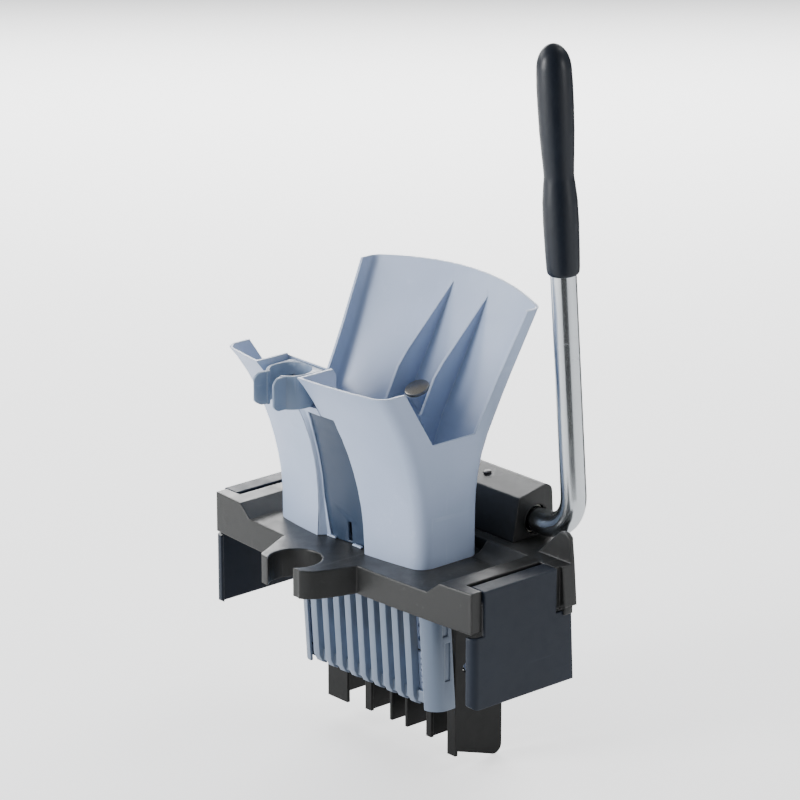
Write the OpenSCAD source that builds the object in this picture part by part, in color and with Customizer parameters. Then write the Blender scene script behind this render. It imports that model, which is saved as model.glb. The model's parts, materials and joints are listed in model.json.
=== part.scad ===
// Side-press mop wringer that hangs on the rim of a bucket.
// Millimetres. +X runs along the plate to the lever, -Y is the front, +Z is up.
// The origin is the middle of the plate, in the plane where it rests on the bucket's rim.

/* [Plate] */
// Length of the plate over its two end blocks
plate_w = 330; // [320:1:345]
// Distance from the origin to the front edge at the corners
plate_front = 74; // [70:1:80]
// Distance from the origin to the rear edge
plate_back = 84; // [80:1:95]
// How far the front edge bows forward in the middle
front_bow = 8; // [0:1:12]
// Half length of the plate's rear edge between the cut corners
rear_half = 120; // [118:1:124]
// Height of the raised end blocks and rear deck above the rim
block_top = 14; // [12:1:18]
// Moulded wall thickness of the plate
plate_wall = 3; // [2.5:0.5:4]
// How far the skirt hangs below the rim
skirt_drop = 22; // [16:1:30]
// Half length of the sunken floor that the funnel stands on
floor_half = 115; // [112:1:118]
// Run of the ramps up to the end blocks
ramp_run = 14; // [8:1:18]
// Rear edge of the sunken floor
floor_back = 22; // [19:1:26]
// Radius of the round notch in front
notch_r = 23; // [16:1:24]
// Sideways place of the notch
notch_x = -17; // [-22:1:-12]
// Distance of the notch in front of the origin
notch_y = 109; // [107:1:112]

/* [Funnel] */
// Sideways place of the funnel's middle
funnel_x = -15.5; // [-18:0.5:-13]
// Half width of the funnel at its foot
foot_half = 94; // [90:1:96]
// Distance of the foot's front corners in front of the origin
foot_front = 53; // [50:1:56]
// Distance of the foot's rear behind the origin
foot_back = 14; // [12:1:17]
// Wall thickness of the funnel
funnel_wall = 2.6; // [2:0.2:3]
// Height of the two front lobes above the rim
lobe_top = 166; // [158:1:174]
// Height of the tall rear scoop's corners above the rim
scoop_top = 211; // [200:1:220]
// Radius in which the front wall curves forward
front_bend_r = 235; // [225:5:260]
// Radius in which the rear wall bends back
rear_bend_r = 140; // [120:5:160]
// Lean of the rear scoop in degrees
scoop_lean = 25.6; // [20:0.2:28]
// Height of the low sides of the opening
side_top = 113; // [105:1:120]

/* [Handle clip] */
// Inner radius of the clip
clip_r = 18; // [14:0.5:18.5]
// Height of the clip
clip_h = 29; // [20:1:32]
// Wall thickness of the clip
clip_wall = 2.6; // [2:0.2:3]
// Half width of the clip's mouth
clip_mouth = 8; // [6:0.5:10]

/* [Press chamber] */
// Sideways place of the press chamber's middle
chamber_x = -11.5; // [-13:0.5:-10]
// Half width of the dark cage outside
cage_half = 83.5; // [83:0.5:85]
// Wall thickness of the cage
cage_wall = 3; // [2.5:0.5:3.5]
// Depth of the cage's side walls below the rim
cage_depth = 175; // [165:1:185]
// Height of the comb at the bottom of the cage
comb_h = 54; // [44:1:58]
// Depth of the light drain basket below the rim
basket_depth = 131; // [122:1:136]
// Half width of the drain basket
basket_half = 88.5; // [87:0.5:90]
// Number of bars between the basket's corners
bar_count = 9; // [7:1:10]
// Width of one bar
bar_w = 7.5; // [5:0.5:9]
// Distance between the bars' middles
bar_pitch = 15.4; // [14:0.1:16]

/* [Press] */
// Stroke of the press plate for each radian of the lever
lift_per_rad = 52; // [50:1:53]
// Half width of the press plate
press_half = 78; // [77:0.5:78.5]
// Diameter of the guide pins' heads
guide_d = 9; // [7:0.5:10]
// Running clearance between parts that move
run_gap = 0.3; // [0.2:0.05:0.4]

/* [Lever] */
// Outside diameter of the lever tube
tube_d = 22; // [20:0.5:24]
// Wall thickness of the tube
tube_wall = 1.5; // [1.2:0.1:2.5]
// Height of the shaft's middle above the rim
shaft_z = 29; // [28:0.5:31]
// Distance of the shaft behind the origin
shaft_y = 60; // [58:0.5:61]
// Distance of the upright part of the lever from the middle
lever_x = 147; // [145:0.5:149]
// Radius of the bend on the tube's middle line
bend_r = 36; // [32:1:38]
// Lean of the lever towards the front in degrees
lever_lean = 4.4; // [4:0.1:5]
// Swing of the lever towards the rear in degrees
lever_swing = 36.5; // [30:0.5:36.5]
// Length of the lever from the shaft's middle to the top of the grip
lever_len = 428; // [380:1:460]
// Length of the grip
grip_len = 196; // [150:1:210]
// Diameter of the grip at its widest
grip_d = 30; // [27:0.5:34]

/* [Latches] */
// Length of a latch along the end of the plate at its top
latch_len = 81; // [70:1:82]
// Depth of the latch below the rim
latch_depth = 103; // [90:1:110]
// Thickness of the latch's sheet
latch_wall = 3; // [2.5:0.5:3.5]
// Diameter of the latch's hinge pin
latch_pin_d = 6; // [5:0.5:7]

/* [Fasteners] */
// Shank diameter of the screws
screw_d = 4; // [3.5:0.5:5]
// Head diameter of the screws
head_d = 8; // [7:0.5:9]

/* [Hidden] */
$fn = 64;
eps = 0.01;
seat_gap = 0.05;

plate_half = plate_w / 2;
floor_top = plate_wall;
deck_under = block_top - plate_wall;
ramp_half = floor_half + ramp_run;

// Places along X measured from the funnel's middle and from the chamber's middle
function fx(rel) = funnel_x + rel;
function cx(rel) = chamber_x + rel;

// Points of an arc, in degrees
function arc(cx, cy, r, a0, a1, n) =
    [for (i = [0:n]) [cx + r * cos(a0 + (a1 - a0) * i / n), cy + r * sin(a0 + (a1 - a0) * i / n)]];

// Plan of the plate

bow_steps = 12;
finger_left = [[-64, -84], [-48, -116], [-45.6, -122], [-42, -125], [-31, -126]];
finger_right = [[5, -125], [8, -126], [12, -123.5], [18, -116.5], [23.5, -105], [27.3, -93], [30, -84]];

function front_y(x) = -plate_front - front_bow * (1 - pow(x / plate_half, 2));
function front_line(x0, x1) =
    [for (i = [0:bow_steps]) let (x = x0 + (x1 - x0) * i / bow_steps) [x, front_y(x)]];

module plate_plan(inset = 0) {
    half = plate_half - inset;
    corner = 6;
    polygon(concat(
        [for (p = front_line(-half, -60)) [p[0], p[1] + inset]],
        [for (p = front_line(34, half)) [p[0], p[1] + inset]],
        [[half, horn_y1 - inset]],
        arc(rear_half - inset - corner, plate_back - inset - corner, corner, 30, 90, 4),
        arc(-rear_half + inset + corner, plate_back - inset - corner, corner, 90, 150, 4),
        [[-half, left_corner_y - inset]]));
}

module finger_plan(inset = 0) {
    mid = [notch_x, -notch_y + 30];
    points = concat(finger_left, finger_right);
    polygon(concat([[-66 + inset, -70]], [for (p = points)
        let (v = p - mid) p - v / norm(v) * inset], [[34 - inset, -70]]));
}

// The sunken floor's void, grown by a wall where needed
module floor_void(grow = 0) {
    bottom = floor_top - grow;
    half_low = floor_half + grow;
    half_high = ramp_half + grow + 20 * ramp_run / deck_under;
    high = block_top + 20;
    translate([0, floor_back + grow, 0])
        rotate([90, 0, 0])
            linear_extrude(400)
                polygon([[-half_low, bottom], [half_low, bottom], [half_high, high],
                    [-half_high, high]]);
}

// Chute hole through the floor

chute_front = 36;
chute_back = foot_back - 6;
chute_half = foot_half - 14;
module chute_plan() {
    translate([fx(-chute_half), -chute_front]) square([2 * chute_half, chute_front + chute_back]);
}

// Latch places

latch_y0 = -62;
latch_y1 = latch_y0 + latch_len;
latch_pin_x = plate_half - 7;
latch_pin_z = 4;
latch_slot_x = plate_half - 19;
latch_side_gap = 1;
pin_hold = 8;

// Lever housing

housing_half = 115;
housing_y0 = 33;
housing_y1 = 80;
housing_wall = 3;
housing_z1 = 52;
housing_z2 = 58;
housing_r = 8;
tube_r = tube_d / 2;
shaft_end_x = fx(-housing_half) + housing_wall + 6;

// Cams turn inside windows in the rear deck

cam_rel = 62;
cam_w = 10;
cam_deck_y0 = housing_y0;
cam_ledge_y0 = 26;
cam_windows_y1 = housing_y1 - housing_wall;

// Screw places

housing_screw_rel = [-99, 101];
housing_screw_y = [40, 73];
cage_screw_rel = [-75, -30, 30, 75];
cage_flange_y = 24;
funnel_screw_rel = [-84, 84];
funnel_screw_y = -13;
basket_screw_rel = [-69, -23, 23, 69];
basket_screw_y = -48;
grip_hole = screw_d - 0.6;
pass_hole = screw_d + 0.4;
screw_bite = 6;

// Wall that the lever's bend passes behind, at the plate's rear right corner, and the foot before it
horn_y0 = 25.5;
horn_y1 = 36;
horn_wall = 3.5;
left_corner_y = 46;
horn_points = [[128, 10], [128, block_top], [153, 38], [156, 39.5], [162, 39], [165.5, 36],
    [168, block_top], [171, -skirt_drop], [150, -skirt_drop]];
horn_lip = 2.6;
foot_points = [[128, 10], [128, block_top], [168, block_top], [171, -skirt_drop],
    [165, -skirt_drop], [165, -skirt_drop - horn_lip], [150, -skirt_drop - horn_lip]];

module base_plate() {
    color("#565656")
    difference() {
        union() {
            difference() {
                plate_body(0);
                plate_body(plate_wall);
            }
            horn();
            latch_guides();
            for (s = [-1, 1]) latch_gutter(s);
            cage_ledge();
        }
        // chute hole
        translate([0, 0, -5]) linear_extrude(20) chute_plan();
        // windows for the cams in the rear deck and in the ledge below it
        for (s = [-1, 1])
            translate([fx(s * cam_rel) - cam_w, 0, 0]) {
                translate([0, cam_deck_y0, deck_under - 5])
                    cube([2 * cam_w, cam_windows_y1 - cam_deck_y0, 30]);
                translate([0, cam_ledge_y0, -1]) cube([2 * cam_w, 30, plate_wall + 2]);
            }
        // end openings for the latches
        for (s = [-1, 1]) latch_opening(s);
        latch_pin_holes(latch_pin_d / 2 + seat_gap);
        screw_holes_plate();
        pad_places(seat_gap);
    }
}

// Solid body of the plate, or with an inset the void inside it
module plate_body(inset) {
    top = block_top - inset;
    low = -skirt_drop - (inset > 0 ? 1 : 0);
    difference() {
        union() {
            translate([0, 0, low]) linear_extrude(top - low) plate_plan(inset);
            translate([0, 0, low]) linear_extrude(top - low) finger_plan(inset);
        }
        floor_void(inset);
        translate([notch_x, -notch_y, low - 1]) cylinder(r = notch_r + inset, h = 80);
    }
}

module horn() {
    translate([0, horn_y1 + horn_wall, 0])
        rotate([90, 0, 0]) linear_extrude(horn_wall + 0.5) polygon(horn_points);
    foot_t = horn_y1 - horn_y0;
    translate([0, horn_y1, 0]) rotate([90, 0, 0]) linear_extrude(foot_t) polygon(foot_points);
}

// Lugs under the end blocks that hold the latch pins
module latch_guides() {
    for (s = [-1, 1])
        for (y = [latch_y0 - latch_side_gap - pin_hold, latch_y1 + latch_side_gap])
            translate([s * latch_pin_x - 7, y, latch_pin_z - 7])
                cube([14, pin_hold, block_top - latch_pin_z + 6]);
}

module latch_pin_holes(r) {
    length = latch_len + 2 * latch_side_gap + 2 * pin_hold;
    for (s = [-1, 1])
        translate([s * latch_pin_x, latch_y0 - latch_side_gap - pin_hold - 1, latch_pin_z])
            rotate([-90, 0, 0]) cylinder(r = r, h = length + 2);
}

module latch_opening(s) {
    length = latch_len + 2 * latch_side_gap;
    mirror([s > 0 ? 0 : 1, 0, 0]) {
        translate([gutter_x1, latch_y0 - latch_side_gap, -skirt_drop - 1])
            cube([plate_half - gutter_x1 + 10, length, 60]);
        translate([latch_slot_x, latch_y0 - latch_side_gap, gutter_top])
            cube([gutter_x1 - latch_slot_x + 1, length, 30]);
    }
}

// Gutter that closes the gap beside a flap's top
gutter_x1 = latch_slot_x + 5.3;
gutter_top = 8;
module latch_gutter(s) {
    length = latch_len + 2 * latch_side_gap + 2;
    mirror([s > 0 ? 0 : 1, 0, 0])
        translate([latch_slot_x - plate_wall, latch_y0 - latch_side_gap - 1, gutter_top - plate_wall]) {
            cube([gutter_x1 - latch_slot_x + plate_wall, length, plate_wall]);
            cube([plate_wall, length, block_top - gutter_top + 1]);
        }
}

// Ledge under the rear deck, level with the floor's underside, that the cage hangs from
cage_rear_y = 44;
module cage_ledge() {
    translate([cx(-cage_half - 4), floor_back + plate_wall - 2, 0])
        cube([2 * cage_half + 8, cage_rear_y - floor_back + 3, plate_wall]);
}

module screw_holes_plate() {
    for (rel = housing_screw_rel)
        for (y = housing_screw_y)
            translate([fx(rel), y, 0]) cylinder(d = pass_hole, h = block_top + 2);
    for (rel = cage_screw_rel)
        translate([cx(rel), cage_flange_y, -2]) cylinder(d = grip_hole, h = 2 + screw_bite + 0.5);
    for (rel = basket_screw_rel)
        translate([cx(rel), basket_screw_y, -2]) cylinder(d = grip_hole, h = 2 + plate_wall + 1);
    for (rel = funnel_screw_rel)
        translate([fx(rel), funnel_screw_y, -2]) cylinder(d = pass_hole, h = 10);
}

// Rubber pads in recesses of the seat
pad_d = 7;
pad_t = 2;
module pad_places(gap) {
    for (x = [-floor_half + 4, floor_half - 4])
        for (y = [-62, 14])
            translate([x, y, -(gap > 0 ? 1 : 0)])
                cylinder(r = pad_d / 2 + gap, h = pad_t + (gap > 0 ? 1 : 0));
}

// Press cage: two side walls, a ledge flange, a rear rail and a comb of upright fins

cage_front_y = -4;
comb_z = -cage_depth + comb_h;
fin_x = [-41, -11, 9, 38];
fin_w = [8, 3, 3, 6.5];
fin_rise = 4;
slot_z = [-42, -100];
guide_y = 40;
slot_spare = 0.5;
press_stroke = lift_per_rad * lever_swing * PI / 180;
rail_h = 10;
leg_w = 10;
leg_drop = 14;
leg_corner_r = 8;
channel_leg_w = 26;

module press_cage() {
    color("#4c4b49")
    difference() {
        union() {
            for (s = [-1, 1]) cage_side(s);
            // flange that is screwed up under the plate
            translate([cx(-cage_half), cage_flange_y - 6, -plate_wall])
                cube([2 * cage_half, 12, plate_wall]);
            // rear rails
            for (z = [-cage_depth + 20, comb_z])
                translate([cx(-cage_half), cage_rear_y, z]) cube([2 * cage_half, cage_wall, rail_h]);
            for (i = [0:len(fin_x) - 1]) fin(fin_x[i], fin_w[i]);
        }
        for (z = slot_z) guide_slots(z);
        // room for the cams behind the flange
        for (s = [-1, 1])
            translate([fx(s * cam_rel) - cam_w, cam_ledge_y0 - 1, -20]) cube([2 * cam_w, 40, 40]);
        for (rel = cage_screw_rel)
            translate([cx(rel), cage_flange_y, -10]) cylinder(d = pass_hole, h = 20);
    }
}

module cage_side(s) {
    x_out = s * cage_half;
    x_in = s * (cage_half - cage_wall);
    rear_y = cage_rear_y + cage_wall;
    // the right leg's foot slopes down to a rounded rear corner
    drop = s > 0 ? leg_drop : 0;
    corner = s > 0 ? leg_corner_r : 1;
    translate([cx(min(x_out, x_in)), 0, 0])
        rotate([90, 0, 90])
            linear_extrude(cage_wall)
                hull() {
                    translate([cage_front_y, -cage_depth]) square([1, cage_depth]);
                    translate([rear_y - 1, -cage_depth]) square([1, cage_depth]);
                    translate([rear_y - corner, corner - cage_depth - drop]) circle(corner);
                }
    // front edge of the wall, turned in as a narrow channel
    leg = s > 0 ? leg_w : channel_leg_w;
    z0 = s > 0 ? -cage_depth - 4 : -cage_depth + 2;
    top = s > 0 ? 0 : -basket_depth - 4;
    translate([cx(s > 0 ? x_out - leg : x_out), cage_front_y - cage_wall, z0])
        cube([leg, cage_wall, top - z0]);
}

module fin(x, w) {
    bridge = cage_rear_y - cage_front_y + cage_wall;
    z = -cage_depth + fin_rise;
    translate([x - 1.5, cage_front_y, z]) cube([3, bridge, comb_h - fin_rise]);
    translate([x - w / 2, cage_front_y - cage_wall, z]) cube([w, cage_wall, comb_h - fin_rise]);
}

// Slots in the side walls that the press plate's guide pins run in
module guide_slots(z) {
    r = guide_d / 2 + run_gap;
    y0 = guide_y - press_stroke - slot_spare;
    y1 = guide_y + slot_spare;
    translate([cx(-cage_half - 1), 0, z])
        rotate([0, 90, 0])
            linear_extrude(2 * cage_half + 2) {
                translate([0, y0]) circle(r);
                translate([0, y1]) circle(r);
                translate([-r, y0]) square([2 * r, y1 - y0]);
            }
}

// Funnel

front_bend_z = 20;
rear_bend_z = 55;
rear_bend_top = rear_bend_z + rear_bend_r * sin(scoop_lean);
rear_bend_y = foot_back + rear_bend_r * (1 - cos(scoop_lean));
side_flare = 0.052;
funnel_levels = [0, 12, 26, 42, 58, 74, 90, 106, 122, 138, 154, 170, 190, 219];

function wall_front(z) = z < front_bend_z ? -foot_front :
    -foot_front - front_bend_r + sqrt(pow(front_bend_r, 2) - pow(z - front_bend_z, 2));
function wall_rear(z) = z < rear_bend_z ? foot_back :
    z < rear_bend_top ? foot_back + rear_bend_r - sqrt(pow(rear_bend_r, 2) - pow(z - rear_bend_z, 2)) :
    rear_bend_y + (z - rear_bend_top) * tan(scoop_lean);
function wall_half(z) = foot_half + max(0, z - 40) * side_flare + max(0, z - 150) * 0.05;
function front_bulge(z) = 7 + z * 0.012;
function rear_bulge(z) = 2 + 14 * max(0, z - 40) / 171;
function rear_surface(x, z) = wall_rear(z) + rear_bulge(z) * (1 - pow((x - funnel_x) / wall_half(z), 2));

// Outline of the funnel at one height
function funnel_section(z, inset) =
    let (half = wall_half(z) - inset, yf = wall_front(z) + inset, yr = wall_rear(z) - inset,
        rf = 15 - inset, rr = 10 - inset, n = 10,
        bf = front_bulge(z), br = rear_bulge(z), flat_f = half - rf, flat_r = half - rr)
    concat(
        [for (i = [0:n]) let (t = -1 + 2 * i / n) [t * flat_f, yf - bf * (1 - t * t)]],
        arc(flat_f, yf + rf, rf, -70, 0, 5),
        arc(flat_r, yr - rr, rr, 0, 70, 5),
        [for (i = [0:n]) let (t = 1 - 2 * i / n) [t * flat_r, yr + br * (1 - t * t)]],
        arc(-flat_r, yr - rr, rr, 110, 180, 5),
        arc(-flat_f, yf + rf, rf, 180, 250, 5));

module funnel_slice(z, inset) {
    translate([funnel_x, 0, z]) linear_extrude(eps) polygon(funnel_section(z, inset));
}

module funnel_form(inset) {
    z0 = floor_top;
    zs = [for (z = funnel_levels) z0 + z];
    for (i = [0:len(zs) - 2])
        hull() {
            funnel_slice(zs[i] - (i == 0 && inset > 0 ? 1 : 0), inset);
            funnel_slice(zs[i + 1] + (inset > 0 && i == len(zs) - 2 ? 1 : 0), inset);
        }
}

// Pocket for the clip, and the channel below it

pocket_x0 = -64;
pocket_x1 = -8;
pocket_y = -75;
channel_y = -40;
band_z = 121;
channel_points = [[-47, -1], [15, -1], [13, 40], [10, 80], [7, band_z], [-38, band_z]];

module clip_pocket(grow) {
    translate([pocket_x0 - grow, -200, 100])
        cube([pocket_x1 - pocket_x0 + 2 * grow, 200 + pocket_y + grow, 100]);
}

module channel_cut(grow) {
    translate([0, channel_y, 0])
        rotate([90, 0, 0])
            linear_extrude(200)
                polygon([for (p = channel_points) [p[0] + (p[0] < -16 ? -grow : grow), p[1]]]);
}

arch_h = 7;
rib_rel = [-17, 29];
rib_t = 2.6;
rib_foot_z = 80;
rib_apex_z = 205;
rib_edge = [[rib_apex_z, 83], [154, 30], [130, 10], [118, 1], [98, 8]];

module funnel() {
    color("#b7c6d9")
    difference() {
        union() {
            difference() {
                funnel_form(0);
                difference() {
                    funnel_form(funnel_wall);
                    clip_pocket(funnel_wall);
                    intersection() {
                        channel_cut(funnel_wall);
                        translate([-100, -200, 0]) cube([200, 200 + channel_y, band_z + funnel_wall]);
                    }
                }
            }
            for (rel = rib_rel) funnel_rib(fx(rel));
            stud_boss();
            for (rel = funnel_screw_rel) funnel_boss(rel);
        }
        clip_pocket(0);
        channel_cut(0);
        side_cut();
        scoop_cut();
        stud_hole();
        for (rel = funnel_screw_rel)
            translate([fx(rel), funnel_screw_y, -1])
                cylinder(d = grip_hole, h = floor_top + funnel_boss_h - 1, $fn = 24);
        for (x = clip_screw_x)
            translate([x, pocket_y - 1, clip_z0 + clip_h / 2])
                rotate([-90, 0, 0]) cylinder(d = grip_hole, h = 8, $fn = 24);
    }
}

// Side profile cut that leaves the lobes, the low sides and the rear scoop
module side_cut() {
    translate([-200, 0, 0])
        rotate([90, 0, 90])
            linear_extrude(400)
                polygon([[-200, lobe_top], [-76, lobe_top], [-42, side_top], [5, side_top],
                    [scoop_edge_y, scoop_top], [scoop_edge_y + 15, scoop_top + 60], [-200, scoop_top + 60]]);
}

scoop_edge_y = 55.5;

module scoop_cut() {
    n = 16;
    half = wall_half(scoop_top) + 4;
    translate([funnel_x, 250, 0])
        rotate([90, 0, 0])
            linear_extrude(400)
                polygon(concat([for (i = [0:n]) let (t = -1 + 2 * i / n)
                    [t * half, scoop_top + arch_h * (1 - t * t)]], [[half, 300], [-half, 300]]));
}

module funnel_rib(x) {
    steps = 8;
    zs = [for (i = [0:steps]) rib_foot_z + (rib_apex_z - rib_foot_z) * i / steps];
    translate([x - rib_t / 2, 0, 0])
        rotate([90, 0, 90])
            linear_extrude(rib_t)
                polygon(concat(
                    [for (z = zs) [rear_surface(x, z) - 1, z]], [for (p = rib_edge) [p[1], p[0]]]));
}

// Round boss between the ribs with a metal stud in it
stud_x = fx(5);
stud_y = 23;
stud_z = 125;
stud_tilt = 23;
stud_head_d = 22;
stem_d = 8;
stem_len = 10;
boss_len = 26;

module stud_frame() {
    translate([stud_x, stud_y, stud_z]) rotate([stud_tilt, 0, 0]) children();
}

module stud_boss() {
    intersection() {
        stud_frame() translate([0, 0, -boss_len]) cylinder(d1 = 8, d2 = stud_head_d + 1, h = boss_len, $fn = 40);
        funnel_form(1);
    }
}

module stud_hole() {
    stud_frame() translate([0, 0, -stem_len - 1]) cylinder(d = stem_d + 2 * seat_gap, h = stem_len + 2, $fn = 32);
}

module scoop_stud() {
    color("#8b857b")
    stud_frame() {
        translate([0, 0, -stem_len]) cylinder(d = stem_d, h = stem_len);
        rotate_extrude()
            polygon(concat([[0, 0], [stud_head_d / 2, 0], [stud_head_d / 2, 2]],
                arc(stud_head_d / 2 - 1, 2, 1, 0, 80, 4), [[0, 3.6]]));
    }
}

// Bosses inside the foot that take the screws from under the plate
funnel_boss_h = 14;
module funnel_boss(rel) {
    side = rel > 0 ? 1 : -1;
    translate([fx(rel), funnel_screw_y, floor_top]) {
        cylinder(d = screw_d + 5, h = funnel_boss_h, $fn = 32);
        translate([side > 0 ? 0 : -8, -(screw_d + 5) / 2, 0]) cube([8, screw_d + 5, funnel_boss_h]);
    }
}

// Slate panel that closes the channel between the lobes
module channel_panel() {
    y = channel_y + run_gap;
    fold_x = -27;
    fold_y = y + 8;
    t = 2.4;
    z0 = floor_top + run_gap;
    color("#667894")
    difference() {
        translate([0, 0, z0])
            linear_extrude(band_z + funnel_wall - z0)
                polygon([[-50, y], [-46, y], [fold_x, fold_y], [15, y], [19, y], [19, y + t],
                    [16, y + t], [fold_x, fold_y + t], [-47, y + t], [-50, y + t]]);
        translate([4, y - 5, 7]) cube([3, 15, 17]);
    }
    color("#667894") panel_side(z0);
}

// Left side of the insert, that lines the channel's left wall
liner_low = 17;
liner_high = 8.5;
module panel_side(z0) {
    t = 2.2;
    low = channel_points[0];
    high = channel_points[5];
    zs = [z0, 30, 60, 90, band_z];
    intersection() {
        rotate([90, 0, 0]) linear_extrude(200)
            polygon([[low[0] + run_gap, low[1]], [low[0] + run_gap + t, low[1]],
                [high[0] + run_gap + t, high[1]], [high[0] + run_gap, high[1]]]);
        translate([-100, 0, 0]) rotate([90, 0, 90]) linear_extrude(100)
            polygon(concat([for (z = zs) [wall_front(z) - 4.5 + liner_low + (liner_high - liner_low) * z / band_z, z]],
                [[channel_y + 5, band_z], [channel_y + 5, z0]]));
    }
}

// Handle clip

clip_x = (pocket_x0 + pocket_x1) / 2;
clip_y = -96;
clip_z0 = lobe_top - 3 - clip_h;
clip_out = clip_r + clip_wall;
clip_back = 2.8;
clip_screw_x = [clip_x - 13.5, clip_x + 13.5];
lip_len = 12;

module handle_clip() {
    strap_y = pocket_y;
    mouth = asin(clip_mouth / clip_r);
    color("#73839d")
    translate([0, 0, clip_z0])
    difference() {
        intersection() {
            difference() {
                union() {
                    linear_extrude(clip_h) difference() {
                        translate([clip_x, clip_y]) circle(clip_out);
                        translate([clip_x - clip_mouth, clip_y - clip_out - 1])
                            square([2 * clip_mouth, clip_out]);
                    }
                    translate([clip_x - clip_out, clip_y, 0]) cube([2 * clip_out, strap_y - clip_y, clip_h]);
                    for (s = [-1, 1])
                        translate([0, 0, 0.4]) linear_extrude(clip_h - 0.8) clip_lip(s, mouth);
                }
                translate([clip_x, clip_y, -1]) cylinder(r = clip_r, h = clip_h + 2);
            }
            // rounded free ends of the arms
            translate([0, 0, clip_h / 2]) rotate([0, 90, 0]) linear_extrude(400, center = true)
                clip_side_plan();
        }
        for (x = clip_screw_x)
            translate([x, strap_y - 30, clip_h / 2]) rotate([-90, 0, 0]) cylinder(d = screw_d + 0.4, h = 60);
        for (x = clip_screw_x)
            translate([x, clip_y, clip_h / 2]) rotate([-90, 0, 0])
                cylinder(d = head_d + 1, h = strap_y - clip_y - clip_back);
    }
}

module clip_lip(s, mouth) {
    x0 = clip_mouth + 0.3;
    y0 = clip_y - clip_out * cos(mouth);
    translate([clip_x, 0]) mirror([s > 0 ? 0 : 1, 0])
        polygon([[x0, y0 + 3], [x0 + 1, y0 - 3], [x0 + 3, y0 - lip_len + 1], [x0 + 4, y0 - lip_len],
            [x0 + 5.4, y0 - lip_len + 1], [x0 + 4.2, y0 - 3], [x0 + 4.6, y0 + 3.4]]);
}

module clip_side_plan() {
    r = 10;
    y0 = clip_y - clip_out - lip_len;
    half = clip_h / 2;
    polygon(concat([[half, -60], [-half, -60]],
        arc(-half + r, y0 + r + 1.5, r, 180, 270, 8), arc(half - r, y0 + r + 1.5, r, 270, 360, 8)));
}

module screw(d, head, shank, head_h = 2.6) {
    cylinder(d = d, h = shank);
    translate([0, 0, shank]) rotate_extrude()
        polygon([[0, 0], [head / 2, 0], [head / 2, head_h - 1], [head / 2 - 1.2, head_h], [1.4, head_h],
            [1.2, head_h - 1.2], [0, head_h - 1.2]]);
}

module clip_screws() {
    color("#9a9a98")
    for (x = clip_screw_x)
        translate([x, pocket_y + funnel_wall, clip_z0 + clip_h / 2])
            rotate([90, 0, 0]) screw(screw_d - 0.7, head_d, funnel_wall + clip_back);
}

// Drain basket

basket_lean = 0.068;
basket_front = -43.3;
basket_wall = 2.6;
basket_side = 19;
corner_r = 14;
function grille_y(z) = basket_front - z * basket_lean;

module basket_profile(t) {
    // front face in side view, from the floor down to the rounded foot
    polygon([[basket_front, -eps], [grille_y(-basket_depth + 9), -basket_depth + 9],
        [grille_y(-basket_depth) + 3, -basket_depth + 2], [grille_y(-basket_depth) + 7, -basket_depth],
        [grille_y(-basket_depth) + t, -basket_depth], [grille_y(-basket_depth + 6) + t, -basket_depth + 6],
        [basket_front + t, -eps]]);
}

bar_depth = 8;
basket_flange_t = 3;

module basket_bar(x) {
    translate([x - bar_w / 2, 0, 0]) rotate([90, 0, 90]) linear_extrude(bar_w) basket_profile(bar_depth);
}

module drain_basket() {
    first = -(bar_count - 1) / 2 * bar_pitch;
    rail_half = basket_half - 5;
    color("#b7c6d9")
    difference() {
        union() {
            for (i = [0:bar_count - 1]) basket_bar(fx(first + i * bar_pitch));
            for (s = [-1, 1]) basket_corner(s);
            // rails between the bars
            for (z = [-16, -basket_depth + 4])
                translate([cx(-rail_half), grille_y(z + 5) + bar_depth - 3.5, z]) cube([2 * rail_half, 3, 10]);
            // flange that is screwed up under the plate
            translate([cx(-basket_half + 4), -chute_front - 16, -basket_flange_t])
                cube([2 * basket_half - 8, 17, basket_flange_t]);
        }
        for (s = [-1, 1]) basket_windows(s);
        translate([-200, -200, 0]) cube([400, 400, 50]);
        for (rel = basket_screw_rel)
            translate([cx(rel), basket_screw_y, -10]) cylinder(d = pass_hole, h = 20);
    }
}

// Rounded corner and short side wall
module basket_corner(s) {
    x_out = cx(s * basket_half);
    n = 8;
    span = basket_side + 4;
    multmatrix([[1, 0, 0, 0], [0, 1, -basket_lean, 0], [0, 0, 1, 0], [0, 0, 0, 1]])
        translate([x_out, basket_front, -basket_depth])
            mirror([s > 0 ? 0 : 1, 0, 0])
                linear_extrude(basket_depth)
                    polygon(concat(
                        arc(-corner_r, corner_r, corner_r, 270, 360, n),
                        [[0, span], [-basket_wall, span]],
                        arc(-corner_r, corner_r, corner_r - basket_wall, 360, 270, n)));
}

// Upright windows in the side walls of the basket, lowest and highest point of each
window_z = [[-104, -69], [-63, -41]];
module basket_windows(s) {
    for (w = window_z)
        translate([cx(s * basket_half) - 6, grille_y(w[0]) + corner_r - 1, w[0]])
            cube([12, 6, w[1] - w[0]]);
}

// Perforated sheet behind the bars
hole_cols = 24;
hole_rows = 5;
module drain_sheet() {
    t = 1.6;
    half = basket_half - 6;
    z0 = -basket_depth + 9;
    h = 40;
    color("#a9b9ce")
    translate([0, 0, z0])
    multmatrix([[1, 0, 0, 0], [0, 1, -basket_lean, 0], [0, 0, 1, 0], [0, 0, 0, 1]])
    difference() {
        translate([cx(-half), grille_y(z0) + bar_depth + seat_gap, 0]) cube([2 * half, t, h]);
        for (i = [0:hole_cols - 1])
            for (j = [0:hole_rows - 1])
                translate([cx(-half + 4 + i * (2 * half - 8) / (hole_cols - 1)), grille_y(z0) + 5, 12 + j * 5.5])
                    rotate([-90, 0, 0]) cylinder(d = 2.6, h = 10, $fn = 6);
    }
}

// Press

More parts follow.
